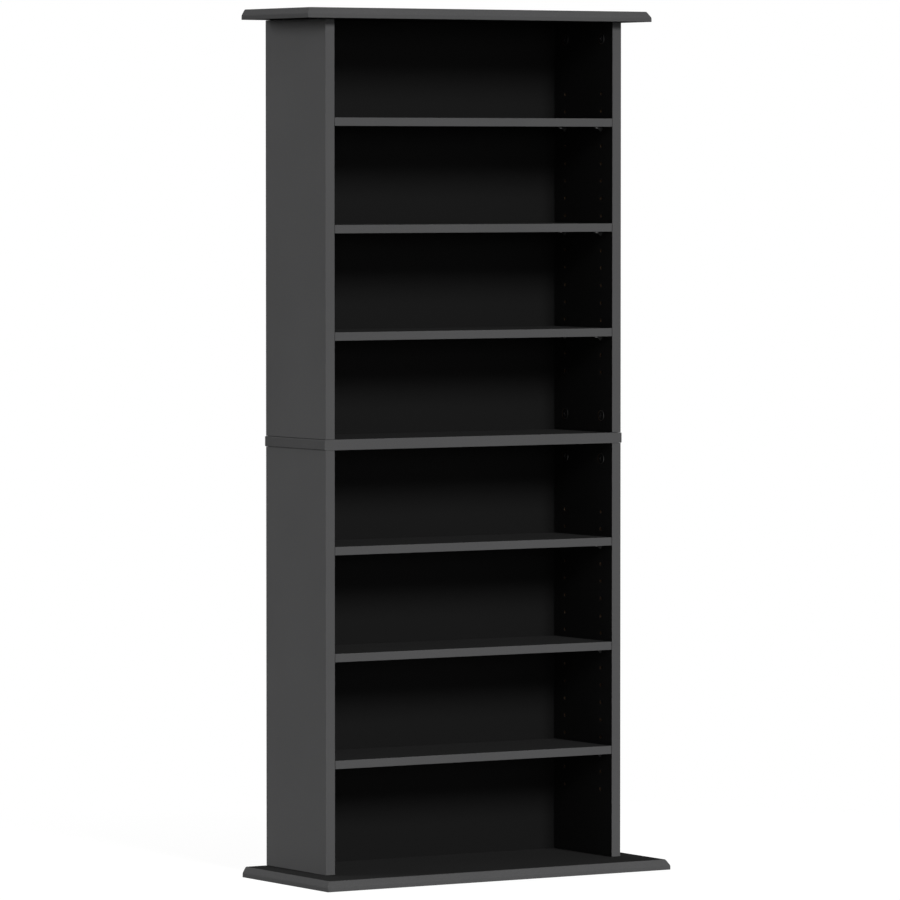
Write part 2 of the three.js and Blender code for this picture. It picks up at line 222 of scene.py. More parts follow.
# Base screw, from the floor up: head and shoulder, thread, tip
THREAD_ROOT = 2.1
SCREW_FOOT = [(0.0, 0.4), (4.7, 0.4), (5.0, 0.7), (5.0, 1.6), (3.5, 3.6), (3.5, 14.0), (3.0, 14.7),
              (THREAD_ROOT, 15.0)]
SCREW_TIP = [(THREAD_ROOT, 47.5), (0.6, 50.2), (0.0, 50.4)]
THREAD_CREST = 2.6
THREAD_ENDS = (16.0, 46.0)
THREAD_PITCH = 3.0
THREAD_HALF_WIDTH = 0.75
RIDGE_POINTS = 3
SOCKET_SIDES = 6
SOCKET_RADIUS = 2.3
SOCKET_TOP = 3.0

# Rounding of the middle board's ends, in the CAD and as the photo shows it, in millimetres
CAD_NOSE = 4.0
NOSE = 1.5

# How far every cut overruns, in millimetres, and the facets of round forms
OVERRUN = 1.0
FINE_SIDES = 48
ROUND_SIDES = 32
SMALL_SIDES = 24
ARC_STEPS = 16

# Rounding and shading, in metres and radians
WELD_REACH = 0.00001
ARRIS = 0.0005
PIN_ARRIS = 0.0002
BEVEL_STEPS = 3
BOARD_EDGE_ANGLE = math.radians(60.0)
PIN_EDGE_ANGLE = math.radians(40.0)
SMOOTH_ANGLE = math.radians(35.0)
FLAT_ANGLE = math.radians(1.0)
BROAD_FACE_WEIGHT = 100

# Turns for a form made along Z: its Z comes to lie along X or along -Y, and its Y points up
ALONG_X = Matrix(((0, 0, 1, 0), (1, 0, 0, 0), (0, 1, 0, 0), (0, 0, 0, 1)))
ALONG_Y = Matrix(((1, 0, 0, 0), (0, 0, -1, 0), (0, 1, 0, 0), (0, 0, 0, 1)))


# Shader nodes

def put(tree, socket, value):
    """Links a socket to another one, or sets its value."""
    if isinstance(value, bpy.types.NodeSocket):
        tree.links.new(value, socket)
    elif socket.type == "RGBA":
        socket.default_value = (*value, 1.0)
    else:
        socket.default_value = value


def node(tree, kind, inputs=(), **settings):
    """A new node, with its inputs linked or set by name or number."""
    made = tree.nodes.new(kind)
    for setting, value in settings.items():
        setattr(made, setting, value)
    for socket, value in dict(inputs).items():
        put(tree, made.inputs[socket], value)
    return made


def maths(tree, operation, first, second=0.0):
    made = node(tree, "ShaderNodeMath", {0: first, 1: second}, operation=operation)
    return made.outputs[0]


def spread(tree, value, low, high, to_low=0.0, to_high=1.0):
    places = {"From Min": low, "From Max": high, "To Min": to_low, "To Max": to_high}
    return node(tree, "ShaderNodeMapRange", {"Value": value, **places}).outputs[0]


def between(tree, share, first, second):
    return spread(tree, share, 0.0, 1.0, first, second)


def mixed(tree, share, first, second):
    made = node(tree, "ShaderNodeMix", {"Factor": share}, data_type="RGBA")
    colours = [socket for socket in made.inputs if socket.type == "RGBA"]
    put(tree, colours[0], first)
    put(tree, colours[1], second)
    return next(socket for socket in made.outputs if socket.type == "RGBA")


def scaled(tree, colour, share):
    return node(tree, "ShaderNodeVectorMath", {0: colour, "Scale": share}, operation="SCALE").outputs[0]


def axes(tree, vector):
    return node(tree, "ShaderNodeSeparateXYZ", {0: vector}).outputs


def object_place(tree):
    return node(tree, "ShaderNodeTexCoord").outputs["Object"]


def noise(tree, scale, detail=2.0, roughness=0.5, stretch=(1.0, 1.0, 1.0)):
    place = node(tree, "ShaderNodeMapping", {"Vector": object_place(tree), "Scale": stretch})
    inputs = {"Vector": place.outputs[0], "Scale": scale, "Detail": detail, "Roughness": roughness}
    return node(tree, "ShaderNodeTexNoise", inputs).outputs[0]


def facing(tree, axis):
    """How squarely the surface faces along an axis, signed."""
    return axes(tree, node(tree, "ShaderNodeNewGeometry").outputs["True Normal"])[axis]


def arris(tree, width):
    """1 on the sharp edges of a board and 0 away from them."""
    rounded = node(tree, "ShaderNodeBevel", {"Radius": width}, samples=WEAR_AND_HIGHLIGHT_SAMPLES)
    normal = node(tree, "ShaderNodeNewGeometry").outputs["True Normal"]
    dots = {0: rounded.outputs[0], 1: normal}
    same = node(tree, "ShaderNodeVectorMath", dots, operation="DOT_PRODUCT")
    return spread(tree, same.outputs["Value"], *WEAR_AND_HIGHLIGHT_TURN)


def ribs(tree, axis):
    """Waves from 0 to 1 along an axis, as pressed by a wire mesh."""
    turn = maths(tree, "MULTIPLY", axes(tree, object_place(tree))[axis], 2 * math.pi / MESH_PITCH)
    return spread(tree, maths(tree, "SINE", turn), -1.0, 1.0)


def bump(tree, height, depth, strength=1.0):
    inputs = {"Height": height, "Distance": depth, "Strength": strength}
    return node(tree, "ShaderNodeBump", inputs).outputs[0]


def new_material(name, **values):
    made = bpy.data.materials.new(name)
    made.use_nodes = True
    shader = made.node_tree.nodes["Principled BSDF"]
    for socket, value in values.items():
        put(made.node_tree, shader.inputs[socket.replace("_", " ")], value)
    return made, made.node_tree, shader


# Finishes

def foil_material(name, broad_axis, painted_shade_side, gloss):
    """Satin foil: grey edge bands, and broad faces made very dark as painted shade, on the side that the
    sign along the broad axis picks, or on both for 0.
    """
    made, tree, shader = new_material(name, Specular_IOR_Level=gloss)
    squarely = facing(tree, broad_axis)
    broad = maths(tree, "GREATER_THAN", maths(tree, "ABSOLUTE", squarely), SQUARE_ON)
    # Broad faces on the given side, or on both, are made very dark: painted shade
    painted_shade = broad
    if painted_shade_side:
        painted_shade = maths(tree, "GREATER_THAN", maths(tree, "MULTIPLY", squarely, painted_shade_side), SQUARE_ON)
    cloud = spread(tree, noise(tree, *FOIL_CLOUDS), *NOISE_RANGE, *CLOUD_SHADES)
    fleck = noise(tree, *FOIL_FLECKS)
    shade = maths(tree, "MULTIPLY", cloud, spread(tree, fleck, *NOISE_RANGE, *FLECK_SHADES))
    plain = scaled(tree, mixed(tree, painted_shade, GREY_FOIL, PAINTED_SHADE_FOIL), shade)
    # Lighter patches along the edges: partly wear, partly painted highlight
    patches = spread(tree, noise(tree, *WEAR_AND_HIGHLIGHT_PATCHES), *WEAR_AND_HIGHLIGHT_PATCH_RANGE, *WEAR_AND_HIGHLIGHT_SHARES)
    wear_and_highlight = maths(tree, "MULTIPLY", arris(tree, WEAR_AND_HIGHLIGHT_WIDTH), patches)
    put(tree, shader.inputs["Base Color"], mixed(tree, wear_and_highlight, plain, FOIL_WEAR_AND_HIGHLIGHT))
    satin = spread(tree, noise(tree, *SATIN_PATCHES), *NOISE_RANGE, *SATIN_ROUGHNESS)
    matt = between(tree, painted_shade, 0.0, PAINTED_SHADE_ROUGHER)
    put(tree, shader.inputs["Roughness"], maths(tree, "ADD", satin, matt))
    depth = between(tree, broad, BAND_DEPTH, FACE_DEPTH)
    put(tree, shader.inputs["Normal"], bump(tree, fleck, depth))
    return made


def hardboard_material(name):
    """Coat on the side that faces the front, very dark partly as paint and partly as painted shade, raw
    brown board with a pressed mesh behind.
    """
    made, tree, shader = new_material(name, Specular_IOR_Level=COAT_GLOSS)
    rear = maths(tree, "GREATER_THAN", facing(tree, 1), COAT_FACING)
    fibre = noise(tree, *FIBRES)
    weave = maths(tree, "MULTIPLY", ribs(tree, 0), ribs(tree, 2))
    cloud = spread(tree, noise(tree, *HARDBOARD_CLOUDS), *NOISE_RANGE, 0.0, CLOUD_SHARE)
    tone = maths(tree, "ADD", spread(tree, fibre, *NOISE_RANGE, 0.0, FIBRE_SHARE), cloud)
    pressed = maths(tree, "MULTIPLY", tone, between(tree, weave, *MESH_SHADES))
    raw = mixed(tree, pressed, HARDBOARD_DARK, HARDBOARD)
    # The coat in front is very dark: partly paint, partly painted shade
    put(tree, shader.inputs["Base Color"], mixed(tree, rear, BLACK_COAT_AND_SHADE, raw))
    put(tree, shader.inputs["Roughness"], between(tree, rear, COAT_ROUGHNESS, RAW_ROUGHNESS))
    fuzz = maths(tree, "MULTIPLY", fibre, FIBRE_HEIGHT)
    height = maths(tree, "ADD", maths(tree, "MULTIPLY", weave, rear), fuzz)
    put(tree, shader.inputs["Normal"], bump(tree, height, MESH_DEPTH))
    return made


def metal_material(name, colour, roughness, faces=None):
    """Plated metal; where a face colour is given, the faces that look squarely left or right take it, used
    as painted shade on the cam.
    """
    made, tree, shader = new_material(name, Metallic=1.0, Base_Color=colour)
    if faces:
        squarely = maths(tree, "GREATER_THAN", maths(tree, "ABSOLUTE", facing(tree, 0)), SQUARE_ON)
        put(tree, shader.inputs["Base Color"], mixed(tree, squarely, colour, faces))
    low, high = [roughness + swing for swing in METAL_SWING]
    put(tree, shader.inputs["Roughness"], spread(tree, noise(tree, *METAL_SPOTS), *NOISE_RANGE, low, high))
    return made


def shaded_raw_board_material(name):
    """Raw particle board, as it shows in bored holes, in tones darkened as painted shade."""
    made, tree, shader = new_material(name, Specular_IOR_Level=CHIP_GLOSS, Roughness=CHIP_ROUGHNESS)
    chips = spread(tree, noise(tree, *CHIPS), *CHIP_RANGE)
    put(tree, shader.inputs["Base Color"], mixed(tree, chips, SHADED_CHIPS_DARK, SHADED_CHIPS_LIGHT))
    put(tree, shader.inputs["Normal"], bump(tree, chips, CHIP_DEPTH))
    return made


# The inside faces of the sides and both broad faces of the level boards are very dark: painted shade
left_foil = foil_material("left_foil", 0, 1, SIDE_GLOSS)
right_foil = foil_material("right_foil", 0, -1, SIDE_GLOSS)
level_foil = foil_material("level_foil", 2, 0, LEVEL_GLOSS)
hardboard = hardboard_material("hardboard")
# Bored holes show raw board in tones darkened as painted shade
shaded_raw_board = shaded_raw_board_material("shaded_raw_board")
pin_metal = metal_material("pin_metal", PIN_METAL, PLATED_ROUGHNESS)
# The cam's flat faces are very dark: painted shade
cam_metal = metal_material("cam_metal", CAM_METAL, CAST_ROUGHNESS, CAM_SHADE_FACE)
steel = metal_material("plated_steel", STEEL, PLATED_ROUGHNESS)


# Forms in mesh code: a shell is a list of points and a list of faces, in millimetres

def ring(radius, sides, height):
    turns = [2 * math.pi * step / sides for step in range(sides)]
    return [(radius * math.cos(turn), radius * math.sin(turn), height) for turn in turns]


def bands(start, rings, sides):
    """Faces between rings of points that follow each other from start."""
    faces = []
    for foot in range(start, start + (rings - 1) * sides, sides):
        for step in range(sides):
            after = (step + 1) % sides
            faces.append((foot + step, foot + after, foot + sides + after, foot + sides + step))
    return faces


def caps(last, sides):
    """Faces from the first and the last point to the rings next to them."""
    faces = []
    for step in range(sides):
        after = (step + 1) % sides
        faces.append((0, 1 + after, 1 + step))
        faces.append((last, last - sides + step, last - sides + after))
    return faces


def turned(profile, sides):
    """A closed shell turned about Z from (radius, height) points, with its ends on the axis."""
    points = [(0.0, 0.0, profile[0][1])]
    for radius, height in profile[1:-1]:
        points += ring(radius, sides, height)
    points.append((0.0, 0.0, profile[-1][1]))
    return points, caps(len(points) - 1, sides) + bands(1, len(profile) - 2, sides)


def prism(outline, low, high):
    """An outline in X and Y, pushed along Z from low to high."""
    count = len(outline)
    points = [(x, y, low) for x, y in outline] + [(x, y, high) for x, y in outline]
    faces = [tuple(reversed(range(count))), tuple(range(count, 2 * count))]
    for step in range(count):
        after = (step + 1) % count
        faces.append((step, after, count + after, count + step))
    return points, faces


def bar(width, depth, low, high):
    x, y = width / 2, depth / 2
    return prism([(-x, -y), (x, -y), (x, y), (-x, y)], low, high)


def helix(steps, sides):
    """Points of the screw's thread: at each step of the turn the foot, crest and far foot of its ridge."""
    points = []
    for step in range(steps + 1):
        turn = 2 * math.pi * step / sides
        height = THREAD_ENDS[0] + THREAD_PITCH * step / sides
        grown = min(1.0, step / sides, (steps - step) / sides)
        crest = THREAD_ROOT + (THREAD_CREST - THREAD_ROOT) * grown
        ridge = ((THREAD_ROOT, -THREAD_HALF_WIDTH), (crest, 0.0), (THREAD_ROOT, THREAD_HALF_WIDTH))
        for radius, offset in ridge:
            points.append((radius * math.cos(turn), radius * math.sin(turn), height + offset))
    return points


def ridge_faces(first, last, turn_points):
    """Faces of the thread's ridge, and of the root between its turns."""
    faces = []
    for here in range(first, last, RIDGE_POINTS):
        after = here + RIDGE_POINTS
        faces += [(here, here + 1, after + 1, after), (here + 1, here + 2, after + 2, after + 1)]
        if after + turn_points <= last:
            faces.append((here + 2, after + 2, after + turn_points, here + turn_points))
    return faces


def thread_ends(below, first, last, above, sides):
    """Faces from the first and the last turn of the thread to the plain rings below and above."""
    faces = []
    for step in range(sides):
        after = (step + 1) % sides
        low = first + RIDGE_POINTS * step
        high = last - RIDGE_POINTS * (sides - step) + 2
        foot_end = (first, first + 1, first + 2) if step == sides - 1 else ()
        faces.append((below + step, below + after, *foot_end, low + RIDGE_POINTS, low))
        tip_end = (last + 2, last + 1, last) if step == 0 else ()
        faces.append((high, high + RIDGE_POINTS, above + after, above + step, *tip_end))
    return faces


def threaded(foot, tip, sides):
    """One closed shell: the foot profile, a thread that dies out at both ends, and the tip profile."""
    steps = round((THREAD_ENDS[1] - THREAD_ENDS[0]) / THREAD_PITCH) * sides
    points = [(0.0, 0.0, foot[0][1])]
    for radius, height in foot[1:]:
        points += ring(radius, sides, height)
    below, first = len(points) - sides, len(points)
    points += helix(steps, sides)
    last, above = len(points) - RIDGE_POINTS, len(points)
    for radius, height in tip[:-1]:
        points += ring(radius, sides, height)
    points.append((0.0, 0.0, tip[-1][1]))
    faces = caps(len(points) - 1, sides) + bands(1, len(foot) - 1, sides)
    faces += bands(above, len(tip) - 1, sides)
    faces += ridge_faces(first, last, RIDGE_POINTS * sides)
    faces += thread_ends(below, first, last, above, sides)
    return points, faces


def placed(shell, matrix):
    points, faces = shell
    return [tuple(matrix @ Vector(point)) for point in points], faces


def mesh_of(name, shells, material):
    """One mesh in metres from shells in millimetres, with its faces turned outwards."""
    points, faces = [], []
    for shell_points, shell_faces in shells:
        start = len(points)
        points += [tuple(value * MM for value in point) for point in shell_points]
        faces += [tuple(start + corner for corner in face) for face in shell_faces]
    mesh = bpy.data.meshes.new(name)
    mesh.from_pydata(points, [], faces)
    work = bmesh.new()
    work.from_mesh(mesh)
    bmesh.ops.recalc_face_normals(work, faces=work.faces)
    work.to_mesh(mesh)
    work.free()
    mesh.materials.append(material)
    return mesh


def object_of(data, name=None):
    """A new object in the scene, named as its data unless a name is given."""
    made = bpy.data.objects.new(name or data.name, data)
    bpy.context.scene.collection.objects.link(made)
    return made


def cutter(name, shells, material):
    """A hidden form that is only cut from others or joined to them."""
    made = object_of(mesh_of(name, shells, material))
    made.hide_render = True
    made.hide_viewport = True
    return made


def combine(piece, tool, operation, crossing=False):
    made = piece.modifiers.new("combine", "BOOLEAN")
    made.operation = operation
    made.solver = "EXACT"
    made.object = tool
    made.material_mode = "TRANSFER"
    made.use_self = crossing


# Steps in geometry nodes

def geometry_steps(name, build):
    tree = bpy.data.node_groups.new(name, "GeometryNodeTree")
    for way in ("INPUT", "OUTPUT"):
        tree.interface.new_socket(name="Geometry", in_out=way, socket_type="NodeSocketGeometry")
    start = node(tree, "NodeGroupInput").outputs[0]
    node(tree, "NodeGroupOutput", {0: build(tree, start)})
    return tree


def point_place(tree):
    return node(tree, "GeometryNodeInputPosition").outputs[0]


def joined(tree, geometry):
    inputs = {"Geometry": geometry, "Distance": WELD_REACH}
    return node(tree, "GeometryNodeMergeByDistance", inputs).outputs[0]


def welded(tree, geometry):
    inputs = {"Mesh": joined(tree, geometry), "Remove Custom": True}
    return node(tree, "GeometryNodeSetMeshNormal", inputs, mode="SHARPNESS").outputs[0]


def vector_maths(tree, operation, first, second=(0.0, 0.0, 0.0)):
    made = node(tree, "ShaderNodeVectorMath", {0: first, 1: second}, operation=operation)
    return made.outputs[0]


def stored(tree, geometry, name, value, data_type, domain):
    made = node(tree, "GeometryNodeStoreNamedAttribute", data_type=data_type, domain=domain)
    for socket, given in {"Geometry": geometry, "Name": name, "Value": value}.items():
        put(tree, made.inputs[socket], given)
    return made.outputs[0]


def box_edges(tree, geometry):
    """Keeps the piece's own box, and marks the edges that lie where two faces of that box meet."""
    geometry = joined(tree, geometry)
    box = node(tree, "GeometryNodeBoundBox", {"Geometry": geometry})
    for corner in ("Min", "Max"):
        geometry = stored(tree, geometry, corner, box.outputs[corner], "FLOAT_VECTOR", "POINT")
    ends = node(tree, "GeometryNodeInputMeshEdgeVertices")
    reaches = []
    for corner in ("Min", "Max"):
        apart = []
        for end in ("Position 1", "Position 2"):
            offset = vector_maths(tree, "SUBTRACT", ends.outputs[end], box.outputs[corner])
            apart.append(vector_maths(tree, "ABSOLUTE", offset))
        reaches.append(vector_maths(tree, "MAXIMUM", *apart))
    nearest = axes(tree, vector_maths(tree, "MINIMUM", *reaches))
    touching = [maths(tree, "LESS_THAN", reach, 2 * WELD_REACH) for reach in nearest]
    total = maths(tree, "ADD", maths(tree, "ADD", touching[0], touching[1]), touching[2])
    marked = maths(tree, "GREATER_THAN", total, 1.0)
    return stored(tree, geometry, "bevel_weight_edge", marked, "FLOAT", "EDGE")


def kept(tree, name):
    made = node(tree, "GeometryNodeInputNamedAttribute", {"Name": name}, data_type="FLOAT_VECTOR")
    return made.outputs[0]


def boxed(tree, geometry):
    """Brings what rounding pushed out back into the box that was kept."""
    low, high = [kept(tree, corner) for corner in ("Min", "Max")]
    inside = vector_maths(tree, "MAXIMUM", low, vector_maths(tree, "MINIMUM", point_place(tree), high))
    return node(tree, "GeometryNodeSetPosition", {"Geometry": geometry, "Position": inside}).outputs[0]


def shaded(tree, geometry):
    """Smooth shading that stops at sharp edges."""
    angle = node(tree, "GeometryNodeInputMeshEdgeAngle").outputs[0]
    sharp = maths(tree, "GREATER_THAN", angle, SMOOTH_ANGLE)
    inputs = {"Mesh": joined(tree, geometry), "Remove Custom": True,
              "Edge Sharpness": sharp, "Face Sharpness": False}
    return node(tree, "GeometryNodeSetMeshNormal", inputs, mode="SHARPNESS").outputs[0]


def add_steps(piece, tree):
    piece.modifiers.new(tree.name, "NODES").node_group = tree


weld_steps = geometry_steps("weld", welded)
box_edge_steps = geometry_steps("box_edges", box_edges)
boxed_steps = geometry_steps("boxed", boxed)
shade_steps = geometry_steps("shade", shaded)


def flatten(piece):
    """Joins faces that lie in one plane."""
    made = piece.modifiers.new("flatten", "DECIMATE")
    made.decimate_type = "DISSOLVE"
    made.angle_limit = FLAT_ANGLE


def soften(piece, width, angle, marked=False):
    """Rounds the edges over an angle, or only the marked ones."""
    bevel = piece.modifiers.new("bevel", "BEVEL")
    bevel.width = width
    bevel.segments = BEVEL_STEPS
    bevel.limit_method = "WEIGHT" if marked else "ANGLE"
    bevel.angle_limit = angle


def shade(piece):
    """Smooth shading in which the broad faces stay flat."""
    add_steps(piece, shade_steps)
    weights = piece.modifiers.new("weights", "WEIGHTED_NORMAL")
    weights.keep_sharp = True
    weights.weight = BROAD_FACE_WEIGHT


def dress_board(piece, marked, bores=None):
    add_steps(piece, weld_steps)
    flatten(piece)
    if bores:
        combine(piece, bores, "DIFFERENCE")
    add_steps(piece, box_edge_steps)
    soften(piece, ARRIS, BOARD_EDGE_ANGLE, marked)
    shade(piece)
    add_steps(piece, boxed_steps)


def metal_below(tree, geometry):
    """The bolts under the top board are steel."""
    underside = box_of("top_board")[1].z - BOARD * MM
    below = maths(tree, "LESS_THAN", axes(tree, point_place(tree))[2], underside - WELD_REACH)
    inputs = {"Geometry": geometry, "Selection": below, "Material": steel}
    return node(tree, "GeometryNodeSetMaterial", inputs).outputs[0]


def tighter_ends(tree, geometry):
    """Draws the rounding of the middle board's ends in towards the corners of its box."""
    low, high = box_of("middle_board")
    middle, half = (low + high) / 2, (high - low) / 2
    offset = vector_maths(tree, "SUBTRACT", point_place(tree), middle)
    corner = vector_maths(tree, "MULTIPLY", vector_maths(tree, "SIGN", offset), half)
    inwards = vector_maths(tree, "SUBTRACT", offset, corner)
    apart = axes(tree, vector_maths(tree, "ABSOLUTE", inwards))
    near = [maths(tree, "LESS_THAN", apart[axis], CAD_NOSE * MM + WELD_REACH) for axis in (0, 2)]
    share = (NOSE / CAD_NOSE, 1.0, NOSE / CAD_NOSE)
    drawn = vector_maths(tree, "ADD", corner, vector_maths(tree, "MULTIPLY", inwards, share))
    inputs = {"Geometry": geometry, "Selection": maths(tree, "MULTIPLY", *near),
              "Position": vector_maths(tree, "ADD", drawn, middle)}
    return node(tree, "GeometryNodeSetPosition", inputs).outputs[0]


# Places of the fittings, from the CAD nodes

def box_of(name):
    low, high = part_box(name)
    return Vector(low), Vector(high)


def middle_of(name):
    low, high = box_of(name)
    return (low + high) / 2


# How far back the front and the rear row of pins and fittings lie
ROWS = {row: middle_of(f"upper_shelf_1_pin_{row}_left").y for row in ("front", "rear")}


def pin_height(half, number):
    """Height of the axis of a shelf's pins."""
    return box_of(f"{half}_shelf_{number}_pin_front_left")[1].z - PEG_RADIUS * MM


def inner_face(side):
    low, high = box_of(f"upper_{side}_side")
    return high.x if side == "left" else low.x


def cam_heights(half):
    """For each row of a half's cam discs: its name, its height, and whether the bolts come from above."""
    low, high = box_of(f"{half}_left_side")
    reach = (BOLT_REACH - SEAT_GAP) * MM
    if half == "lower":
        return [("middle_cam_below", high.z - reach, True)]
    return [("top_cam", high.z - reach, True), ("middle_cam_above", low.z + reach, False)]


def into_panel(side, row, height):
    """From a fitting's own space, with Z into the side panel, to its place."""
    place = Matrix.Translation((inner_face(side), ROWS[row], height))
    turn = Matrix.Rotation(math.pi, 4, "Z") if side == "left" else Matrix.Identity(4)
    return place @ turn


# Rounder walls for the bores in a side panel

def drill(radius, depth, point, sides):
    return turned([(0.0, -OVERRUN), (radius, -OVERRUN), (radius, depth), (0.0, depth + point)], sides)


def panel_cutter(name):
    half, side = name.split("_")[:2]
    first = pin_height(half, 1) - SPARE_HOLES * HOLE_STEP * MM
    pin_hole = drill(PIN_HOLE_RADIUS, PIN_HOLE_DEPTH, DRILL_POINT, SMALL_SIDES)
    cam_bore = drill(CAM_BORE_RADIUS, CAM_BORE_DEPTH, 0.0, FINE_SIDES)
    bores = [(pin_hole, first + hole * HOLE_STEP * MM) for hole in range(HOLES_IN_ROW)]
    bores += [(cam_bore, height) for _, height, _ in cam_heights(half)]
    to_mm = Matrix.Scale(1 / MM, 4)
    to_metres = Matrix.Scale(MM, 4)
    shells = []
    for row in ROWS:
        for shell, height in bores:
            shells.append(placed(shell, to_mm @ into_panel(side, row, height) @ to_metres @ ALONG_X))
    return cutter(name + "_bores", shells, shaded_raw_board)


# Fittings

def finished(piece, width=0.0):
    """The mesh of a piece with its cuts made, and its edges rounded where a width is given."""
    if width:
        soften(piece, width, PIN_EDGE_ANGLE)
    shade(piece)
    graph = bpy.context.evaluated_depsgraph_get()
    mesh = bpy.data.meshes.new_from_object(piece.evaluated_get(graph))
    bpy.data.objects.remove(piece)
    return mesh


def pin_mesh():
    """A shelf pin: peg along +X, a round shoulder with a flat top, and a tongue with a rib under it."""
    shoulder = [(x, min(y, SHOULDER_TOP)) for x, y, _ in ring(SHOULDER_RADIUS, FINE_SIDES, 0.0)]
    turns = [math.pi * (0.5 + step / ARC_STEPS) for step in range(ARC_STEPS + 1)]
    middle = TONGUE_END + TONGUE_HALF_WIDTH
    tongue = [(TONGUE_START, -TONGUE_HALF_WIDTH), (TONGUE_START, TONGUE_HALF_WIDTH)]
    for turn in turns:
        tongue.append((middle + TONGUE_HALF_WIDTH * math.cos(turn), TONGUE_HALF_WIDTH * math.sin(turn)))
    peg = object_of(mesh_of("pin", [placed(turned(PEG_PROFILE, ROUND_SIDES), ALONG_X)], pin_metal))
    rest = [
        placed(prism(shoulder, *SHOULDER_ENDS), ALONG_X),
        prism(tongue, PEG_RADIUS - TONGUE_THICKNESS, PEG_RADIUS),
        placed(prism(RIB_OUTLINE, -RIB_HALF_WIDTH, RIB_HALF_WIDTH), ALONG_Y),
    ]
    combine(peg, cutter("pin_rest", rest, pin_metal), "UNION", crossing=True)
    return finished(peg, PIN_ARRIS)


def cam_mesh():
    """A cam disc: its driven face at x = 0, and the bolt head comes in from +Z."""
    depth = BOARD / 2
    turns = [2 * math.pi * step / FINE_SIDES for step in range(FINE_SIDES)]
    radii = [HEAD_ROOM + (SPIRAL_RISE * turn / CAM_SWEEP if turn <= CAM_SWEEP else 0.0) for turn in turns]
    spiral = [(-radius * math.sin(turn), radius * math.cos(turn)) for radius, turn in zip(radii, turns)]
    arc = [CAM_SWEEP * step / ARC_STEPS for step in range(ARC_STEPS + 1)]
    sector = [(0.0, 0.0)] + [(-PAST_RIM * math.sin(turn), PAST_RIM * math.cos(turn)) for turn in arc]
    across = Matrix.Translation((depth, 0.0, 0.0))
    mouth = Matrix.Rotation(CAM_SWEEP, 4, "X")
    arm = bar(CROSS_WIDTH, CROSS_LENGTH, -OVERRUN, CROSS_DEPTH)
    cuts = [
        placed(prism(spiral, depth - HEAD_ROOM, depth + HEAD_ROOM), ALONG_X),
        placed(prism(sector, depth - NECK_ROOM, depth + NECK_ROOM), ALONG_X),
        placed(bar(2 * NECK_ROOM, 2 * NECK_ROOM, 0.0, PAST_RIM), across),
        placed(bar(2 * HEAD_ROOM, 2 * HEAD_ROOM, 0.0, PAST_RIM), across @ mouth),
        placed(turned(CROSS_HOLLOW, SMALL_SIDES), ALONG_X),
        placed(prism(CAM_ARROW, -OVERRUN, ARROW_DEPTH), ALONG_X),
        placed(arm, ALONG_X),
        placed(arm, ALONG_X @ Matrix.Rotation(math.pi / 2, 4, "Z")),
    ]
    disc = object_of(mesh_of("cam", [placed(turned(CAM_PROFILE, FINE_SIDES), ALONG_X)], cam_metal))
    combine(disc, cutter("cam_cuts", cuts, cam_metal), "DIFFERENCE", crossing=True)
    return finished(disc)


def bolt_mesh():
    """A double-ended bolt along Z through the middle board, with a ball at each end."""
    turns = [math.pi * step / ARC_STEPS for step in range(ARC_STEPS)]
    ball = [(BALL_RADIUS * math.sin(turn), BOLT_REACH + BALL_RADIUS * math.cos(turn)) for turn in turns]
    kept_part = [(radius, height) for radius, height in ball if radius > NECK_RADIUS or height > BOLT_REACH]
    half = [(radius, height + BOARD) for radius, height in kept_part + BOLT_NECK + BOLT_WAIST]
    other = [(radius, BOARD - height) for radius, height in reversed(half[:-1])]
    return finished(object_of(mesh_of("bolt", [turned(half + other, ROUND_SIDES)], steel)))


def screw_mesh():
    """A base screw: countersunk head below, plain shoulder, and a threaded part that goes into the side."""
    screw = object_of(mesh_of("screw", [threaded(SCREW_FOOT, SCREW_TIP, ROUND_SIDES)], steel))
    socket = [(x, y) for x, y, _ in ring(SOCKET_RADIUS, SOCKET_SIDES, 0.0)]
    combine(screw, cutter("socket", [prism(socket, -OVERRUN, SOCKET_TOP)], steel), "DIFFERENCE")
    return finished(screw)


def fitting(name, mesh, matrix):
    """A finer fitting in place of the CAD node of that name."""
    made = object_of(mesh, name + "_detail")
    made.matrix_world = matrix
    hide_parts(name)
    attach(made, "carcass")


def set_finish(piece, material):
    for holder in piece.material_slots:
        holder.material = material


def dress_boards():
    add_steps(nodes["middle_board"], geometry_steps("tighter_ends", tighter_ends))
    for name, piece in nodes.items():
        if name.endswith("_side"):
            set_finish(piece, left_foil if "_left_" in name else right_foil)
            dress_board(piece, True, panel_cutter(name))
        elif name.endswith("_back_panel"):
            set_finish(piece, hardboard)
        elif "_pin_" not in name and "_shelf_" in name:
            set_finish(piece, level_foil)
            dress_board(piece, True)
        elif name.endswith("_board"):
            set_finish(piece, level_foil)
            dress_board(piece, False)
    add_steps(nodes["top_board"], geometry_steps("metal_below", metal_below))


def add_fittings():
    pin, cam, bolt, screw = pin_mesh(), cam_mesh(), bolt_mesh(), screw_mesh()
    middle = Matrix.Translation((0.0, 0.0, box_of("middle_board")[0].z))
    for side in ("left", "right"):
        for row in ROWS:
            corner = f"{row}_{side}"
            for half in ("lower", "upper"):
                for number in SHELVES:
                    place = into_panel(side, row, pin_height(half, number))
                    fitting(f"{half}_shelf_{number}_pin_{corner}", pin, place)
                for label, height, from_above in cam_heights(half):
                    turn = Matrix.Rotation(0.0 if from_above else math.pi, 4, "X")
                    fitting(f"{label}_{corner}", cam, into_panel(side, row, height) @ turn)
            across = middle_of(f"middle_bolt_{corner}").x
            upright = Matrix.Translation((across, ROWS[row], 0.0))
            fitting(f"middle_bolt_{corner}", bolt, middle @ upright)
            fitting(f"base_screw_{corner}", screw, upright)


dress_boards()
add_fittings()


# Studio

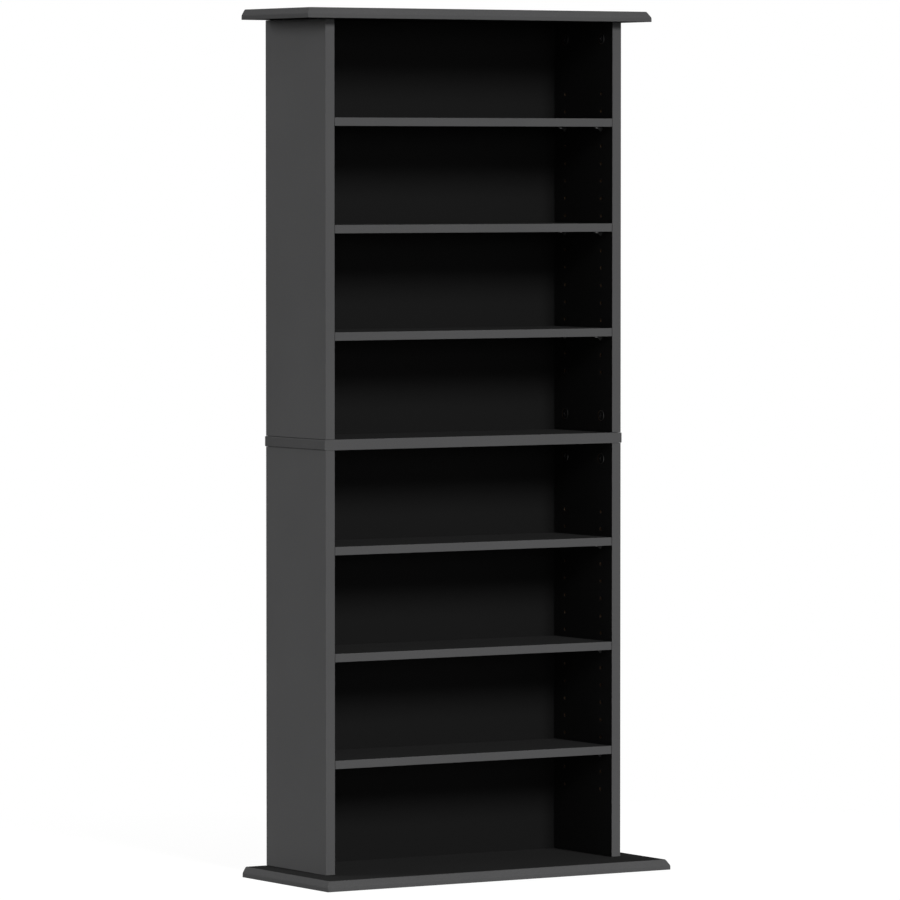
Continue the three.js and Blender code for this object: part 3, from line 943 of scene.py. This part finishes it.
def lamp(name, azimuth, elevation, share, width):
    data = bpy.data.lights.new(name, "SUN")
    data.energy = share * math.pi
    data.angle = math.radians(width)
    made = object_of(data)
    about, up = math.radians(azimuth), math.radians(elevation)
    source = Vector((math.sin(about) * math.cos(up), -math.cos(about) * math.cos(up), math.sin(up)))
    made.rotation_euler = source.to_track_quat("Z", "Y").to_euler()
    made.location = source * LAMP_DISTANCE


def seen_share(tree):
    """1 for rays that show the background: from the camera, in gloss and through glass."""
    path = node(tree, "ShaderNodeLightPath")
    seen = maths(tree, "MAXIMUM", path.outputs["Is Camera Ray"], path.outputs["Is Glossy Ray"])
    return maths(tree, "MAXIMUM", seen, path.outputs["Is Transmission Ray"])


def make_world():
    world = bpy.data.worlds.new("studio")
    bpy.context.scene.world = world
    world.use_nodes = True
    tree = world.node_tree
    background = tree.nodes["Background"]
    put(tree, background.inputs["Color"], WHITE)
    put(tree, background.inputs["Strength"], between(tree, seen_share(tree), AMBIENT, 1.0))


def floor_material():
    """White as the background, with a faint shadow near the tower that fades with the distance."""
    made = bpy.data.materials.new("floor")
    made.use_nodes = True
    tree = made.node_tree
    tree.nodes.clear()
    reach = node(tree, "ShaderNodeVectorMath", {0: object_place(tree)}, operation="LENGTH")
    near = spread(tree, reach.outputs["Value"], SHADOW_NEAR, SHADOW_FAR, 1.0, 0.0)
    shade = scaled(tree, WHITE, maths(tree, "MULTIPLY", near, FLOOR_SHADE))
    diffuse = node(tree, "ShaderNodeBsdfDiffuse", {"Color": shade})
    glow = between(tree, near, 1.0, FLOOR_GLOW)
    lit = node(tree, "ShaderNodeMix", {0: seen_share(tree), 2: FLOOR_BOUNCE, 3: glow}).outputs[0]
    emission = node(tree, "ShaderNodeEmission", {"Color": WHITE, "Strength": lit})
    total = node(tree, "ShaderNodeAddShader", {0: diffuse.outputs[0], 1: emission.outputs[0]})
    node(tree, "ShaderNodeOutputMaterial", {"Surface": total.outputs[0]})
    return made


def make_floor():
    corners = [(x * FLOOR_REACH, y * FLOOR_REACH, 0.0) for x, y in ((-1, -1), (1, -1), (1, 1), (-1, 1))]
    mesh = bpy.data.meshes.new("floor")
    mesh.from_pydata(corners, [], [(0, 1, 2, 3)])
    mesh.materials.append(floor_material())
    floor = object_of(mesh)


def make_camera():
    data = bpy.data.cameras.new("camera")
    data.lens = CAMERA_LENS
    data.sensor_width = CAMERA_SENSOR
    camera = object_of(data)
    camera.location = CAMERA_PLACE
    camera.rotation_euler = (CAMERA_PITCH, 0.0, CAMERA_TURN)
    bpy.context.scene.camera = camera


for lamp_name, values in LAMPS.items():
    lamp(lamp_name, *values)
make_world()
make_floor()
make_camera()
bpy.context.scene.view_settings.view_transform = "Standard"

bpy.context.view_layer.update()
